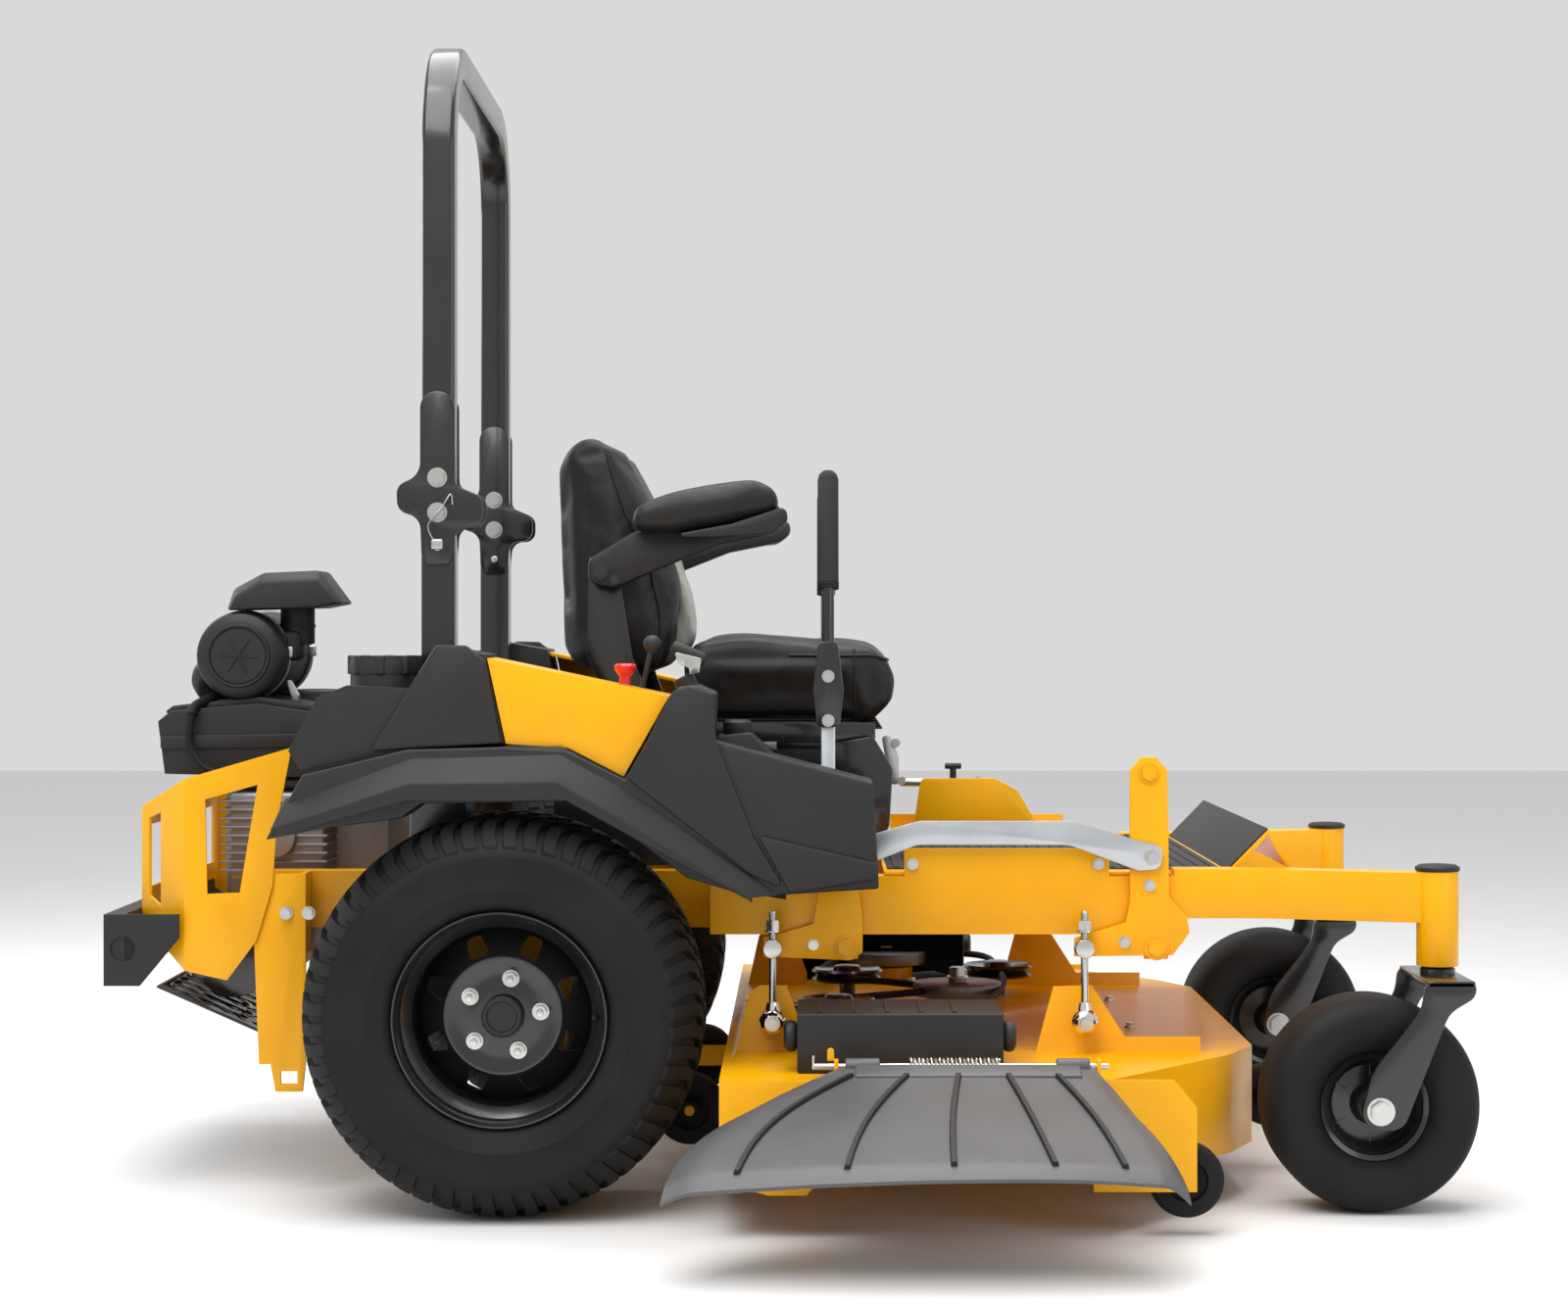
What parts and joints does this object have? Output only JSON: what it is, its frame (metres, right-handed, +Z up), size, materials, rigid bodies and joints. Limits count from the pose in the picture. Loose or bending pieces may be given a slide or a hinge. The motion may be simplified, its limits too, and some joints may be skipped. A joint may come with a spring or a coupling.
{
  "type": "zero turn mower",
  "caption": "Ride-on zero turn mower with a folding roll bar, suspended seat, lap-bar steering, swivelling front casters and a lifting side-discharge blade deck.",
  "frame": {"origin": "middle of the machine's footprint, on the ground under the tyres, with the discharge chute down", "axes": "+X forward, +Y to the operator's left, +Z up"},
  "size_m": [2.119, 1.8886, 1.815],
  "materials": {
    "yellow_paint": "gloss powder coat",
    "black_paint": "semi-gloss powder coat",
    "black_plastic": "fine-grained",
    "cast_metal": "as cast",
    "tyre_rubber": "moulded",
    "bare_steel": "dull",
    "zinc_plate": "bright zinc",
    "seat_vinyl": "grained vinyl",
    "red_plastic": "gloss"
  },
  "bodies": {
    "chassis": {"main_frame": "yellow_paint", "foot_platform": "yellow_paint", "seat_pedestal": "black_paint", "engine_guard": "yellow_paint", "rear_bumper": "black_plastic", "engine_block": "cast_metal", "engine_shroud": "black_plastic", "air_cleaner": "black_plastic", "muffler": "black_paint", "muffler_guard": "black_paint", "transaxle_R": "black_paint", "transaxle_L": "black_paint", "fuel_tank_R": "black_plastic", "fuel_tank_L": "black_plastic", "fender_console_R": "black_plastic", "fender_console_L": "black_plastic", "side_panel_R": "yellow_paint", "side_panel_L": "yellow_paint", "rops_base": "black_paint"},
    "roll_bar": {"rops_hoop": "black_paint"},
    "rear_wheel_R": {"rear_tyre_R": "tyre_rubber", "rear_rim_R": "black_paint"},
    "rear_wheel_L": {"rear_tyre_L": "tyre_rubber", "rear_rim_L": "black_paint"},
    "fork_R": {"caster_fork_R": "black_paint"},
    "fork_L": {"caster_fork_L": "black_paint"},
    "caster_wheel_R": {"caster_tyre_R": "tyre_rubber", "caster_rim_R": "black_paint"},
    "caster_wheel_L": {"caster_tyre_L": "tyre_rubber", "caster_rim_L": "black_paint"},
    "deck": {"deck_shell": "yellow_paint", "belt_cover_R": "black_plastic", "belt_cover_L": "black_plastic"},
    "blade_right": {"blade_right": "bare_steel"},
    "blade_centre": {"blade_centre": "bare_steel"},
    "blade_left": {"blade_left": "bare_steel"},
    "chute": {"discharge_chute": "black_plastic"},
    "scalp_front_R": {"scalp_wheel_front_R": "tyre_rubber"},
    "scalp_front_L": {"scalp_wheel_front_L": "tyre_rubber"},
    "scalp_front_mid": {"scalp_wheel_front_mid": "tyre_rubber"},
    "scalp_rear_R": {"scalp_wheel_rear_R": "tyre_rubber"},
    "scalp_rear_L": {"scalp_wheel_rear_L": "tyre_rubber"},
    "front_crank": {"front_lift_crank": "yellow_paint"},
    "rear_crank": {"rear_lift_crank": "yellow_paint"},
    "front_hangers_R": {"front_hanger_R": "zinc_plate"},
    "front_hangers_L": {"front_hanger_L": "zinc_plate"},
    "rear_hangers_R": {"rear_hanger_R": "zinc_plate"},
    "rear_hangers_L": {"rear_hanger_L": "zinc_plate"},
    "link_bar": {"lift_link_bar": "zinc_plate"},
    "seat": {"seat_base": "black_paint", "seat_cushion": "seat_vinyl", "seat_back": "seat_vinyl"},
    "armrest_R": {"armrest_R": "seat_vinyl"},
    "armrest_L": {"armrest_L": "seat_vinyl"},
    "drive_arm_R": {"control_arm_R": "zinc_plate"},
    "drive_arm_L": {"control_arm_L": "zinc_plate"},
    "lap_bar_R": {"lap_bar_R": "black_paint"},
    "lap_bar_L": {"lap_bar_L": "black_paint"},
    "throttle": {"throttle_lever": "black_plastic"},
    "pto": {"pto_knob": "red_plastic"}
  },
  "joints": [
    {"name": "rops_fold", "type": "hinge", "parent": "chassis", "child": "roll_bar", "pos_m": [-0.534, 0.16, 1.063], "axis": [0, 1, 0], "range_deg": [-119, 0]},
    {"name": "rear_wheel_spin_R", "type": "hinge", "parent": "chassis", "child": "rear_wheel_R", "pos_m": [-0.419, -0.357, 0.303], "axis": [0, 1, 0], "continuous": true},
    {"name": "caster_swivel_R", "type": "hinge", "parent": "chassis", "child": "fork_R", "pos_m": [1.003, -0.347, 0.44], "axis": [0, 0, 1], "continuous": true},
    {"name": "caster_spin_R", "type": "hinge", "parent": "fork_R", "child": "caster_wheel_R", "pos_m": [0.896, -0.347, 0.163], "axis": [0, 1, 0], "continuous": true},
    {"name": "rear_wheel_spin_L", "type": "hinge", "parent": "chassis", "child": "rear_wheel_L", "pos_m": [-0.419, 0.677, 0.303], "axis": [0, 1, 0], "continuous": true},
    {"name": "caster_swivel_L", "type": "hinge", "parent": "chassis", "child": "fork_L", "pos_m": [1.003, 0.667, 0.44], "axis": [0, 0, 1], "continuous": true},
    {"name": "caster_spin_L", "type": "hinge", "parent": "fork_L", "child": "caster_wheel_L", "pos_m": [0.896, 0.667, 0.163], "axis": [0, 1, 0], "continuous": true},
    {"name": "deck_lift", "type": "slide", "parent": "chassis", "child": "deck", "axis": [0, 0, 1], "range_m": [0, 0.055]},
    {"name": "blade_spin_right", "type": "hinge", "parent": "deck", "child": "blade_right", "pos_m": [0.183, -0.327, 0.2], "axis": [0, 0, 1], "continuous": true},
    {"name": "blade_spin_centre", "type": "hinge", "parent": "deck", "child": "blade_centre", "pos_m": [0.293, 0.177, 0.2], "axis": [0, 0, 1], "continuous": true},
    {"name": "blade_spin_left", "type": "hinge", "parent": "deck", "child": "blade_left", "pos_m": [0.183, 0.681, 0.2], "axis": [0, 0, 1], "continuous": true},
    {"name": "chute_flip", "type": "hinge", "parent": "deck", "child": "chute", "pos_m": [0.271, -0.6, 0.251], "axis": [-1, 0, 0], "range_deg": [0, 90]},
    {"name": "scalp_spin_front_R", "type": "hinge", "parent": "deck", "child": "scalp_front_R", "pos_m": [0.593, -0.555, 0.08], "axis": [0, 1, 0], "continuous": true},
    {"name": "scalp_spin_front_L", "type": "hinge", "parent": "deck", "child": "scalp_front_L", "pos_m": [0.593, 0.909, 0.08], "axis": [0, 1, 0], "continuous": true},
    {"name": "scalp_spin_front_mid", "type": "hinge", "parent": "deck", "child": "scalp_front_mid", "pos_m": [0.794, 0.01, 0.119], "axis": [0, 1, 0], "continuous": true},
    {"name": "scalp_spin_rear_R", "type": "hinge", "parent": "deck", "child": "scalp_rear_R", "pos_m": [-0.149, -0.14, 0.119], "axis": [0, 1, 0], "continuous": true},
    {"name": "scalp_spin_rear_L", "type": "hinge", "parent": "deck", "child": "scalp_rear_L", "pos_m": [-0.149, 0.46, 0.119], "axis": [0, 1, 0], "continuous": true},
    {"name": "front_crank_turn", "type": "hinge", "parent": "chassis", "child": "front_crank", "pos_m": [0.58, 0.16, 0.392], "axis": [0, 1, 0], "range_deg": [0, 27.69]},
    {"name": "rear_crank_turn", "type": "hinge", "parent": "chassis", "child": "rear_crank", "pos_m": [0.099, 0.16, 0.392], "axis": [0, 1, 0], "range_deg": [0, 27.69]},
    {"name": "front_hanger_turn_R", "type": "hinge", "parent": "front_crank", "child": "front_hangers_R", "pos_m": [0.466, -0.312, 0.392], "axis": [0, 1, 0], "range_deg": [-27.69, 0]},
    {"name": "rear_hanger_turn_R", "type": "hinge", "parent": "rear_crank", "child": "rear_hangers_R", "pos_m": [-0.015, -0.312, 0.392], "axis": [0, 1, 0], "range_deg": [-27.69, 0]},
    {"name": "front_hanger_turn_L", "type": "hinge", "parent": "front_crank", "child": "front_hangers_L", "pos_m": [0.466, 0.632, 0.392], "axis": [0, 1, 0], "range_deg": [-27.69, 0]},
    {"name": "rear_hanger_turn_L", "type": "hinge", "parent": "rear_crank", "child": "rear_hangers_L", "pos_m": [-0.015, 0.632, 0.392], "axis": [0, 1, 0], "range_deg": [-27.69, 0]},
    {"name": "link_bar_turn", "type": "hinge", "parent": "front_crank", "child": "link_bar", "pos_m": [0.569, -0.304, 0.529], "axis": [0, 1, 0], "range_deg": [-27.69, 0]},
    {"name": "seat_tilt", "type": "hinge", "parent": "chassis", "child": "seat", "pos_m": [0.117, 0.16, 0.7], "axis": [0, -1, 0], "range_deg": [-60, 0]},
    {"name": "armrest_lift_R", "type": "hinge", "parent": "seat", "child": "armrest_R", "pos_m": [-0.293, -0.11, 0.977], "axis": [0, -1, 0], "range_deg": [0, 85]},
    {"name": "lever_drive_R", "type": "hinge", "parent": "chassis", "child": "drive_arm_R", "pos_m": [0.071, -0.254, 0.6], "axis": [0, 1, 0], "range_deg": [-8, 20]},
    {"name": "lever_swing_R", "type": "hinge", "parent": "drive_arm_R", "child": "lap_bar_R", "pos_m": [0.071, -0.254, 0.738], "axis": [-1, 0, 0], "range_deg": [0, 30]},
    {"name": "armrest_lift_L", "type": "hinge", "parent": "seat", "child": "armrest_L", "pos_m": [-0.293, 0.43, 0.977], "axis": [0, -1, 0], "range_deg": [0, 85]},
    {"name": "lever_drive_L", "type": "hinge", "parent": "chassis", "child": "drive_arm_L", "pos_m": [0.071, 0.574, 0.6], "axis": [0, 1, 0], "range_deg": [-8, 20]},
    {"name": "lever_swing_L", "type": "hinge", "parent": "drive_arm_L", "child": "lap_bar_L", "pos_m": [0.071, 0.574, 0.738], "axis": [1, 0, 0], "range_deg": [0, 30]},
    {"name": "throttle_travel", "type": "hinge", "parent": "chassis", "child": "throttle", "pos_m": [-0.212, -0.38, 0.792], "axis": [0, 1, 0], "range_deg": [-15, 15]},
    {"name": "pto_pull", "type": "slide", "parent": "chassis", "child": "pto", "axis": [0, 0, 1], "range_m": [0, 0.012]}
  ],
  "couplings": [
    {"joint": "front_crank_turn", "follows": "deck_lift", "rad_per_m": 8.7719},
    {"joint": "rear_crank_turn", "follows": "deck_lift", "rad_per_m": 8.7719},
    {"joint": "front_hanger_turn_R", "follows": "deck_lift", "rad_per_m": -8.7719},
    {"joint": "rear_hanger_turn_R", "follows": "deck_lift", "rad_per_m": -8.7719},
    {"joint": "front_hanger_turn_L", "follows": "deck_lift", "rad_per_m": -8.7719},
    {"joint": "rear_hanger_turn_L", "follows": "deck_lift", "rad_per_m": -8.7719},
    {"joint": "link_bar_turn", "follows": "deck_lift", "rad_per_m": -8.7719},
    {"joint": "blade_spin_right", "follows": "blade_spin_centre", "ratio": 1},
    {"joint": "blade_spin_left", "follows": "blade_spin_centre", "ratio": 1}
  ]
}
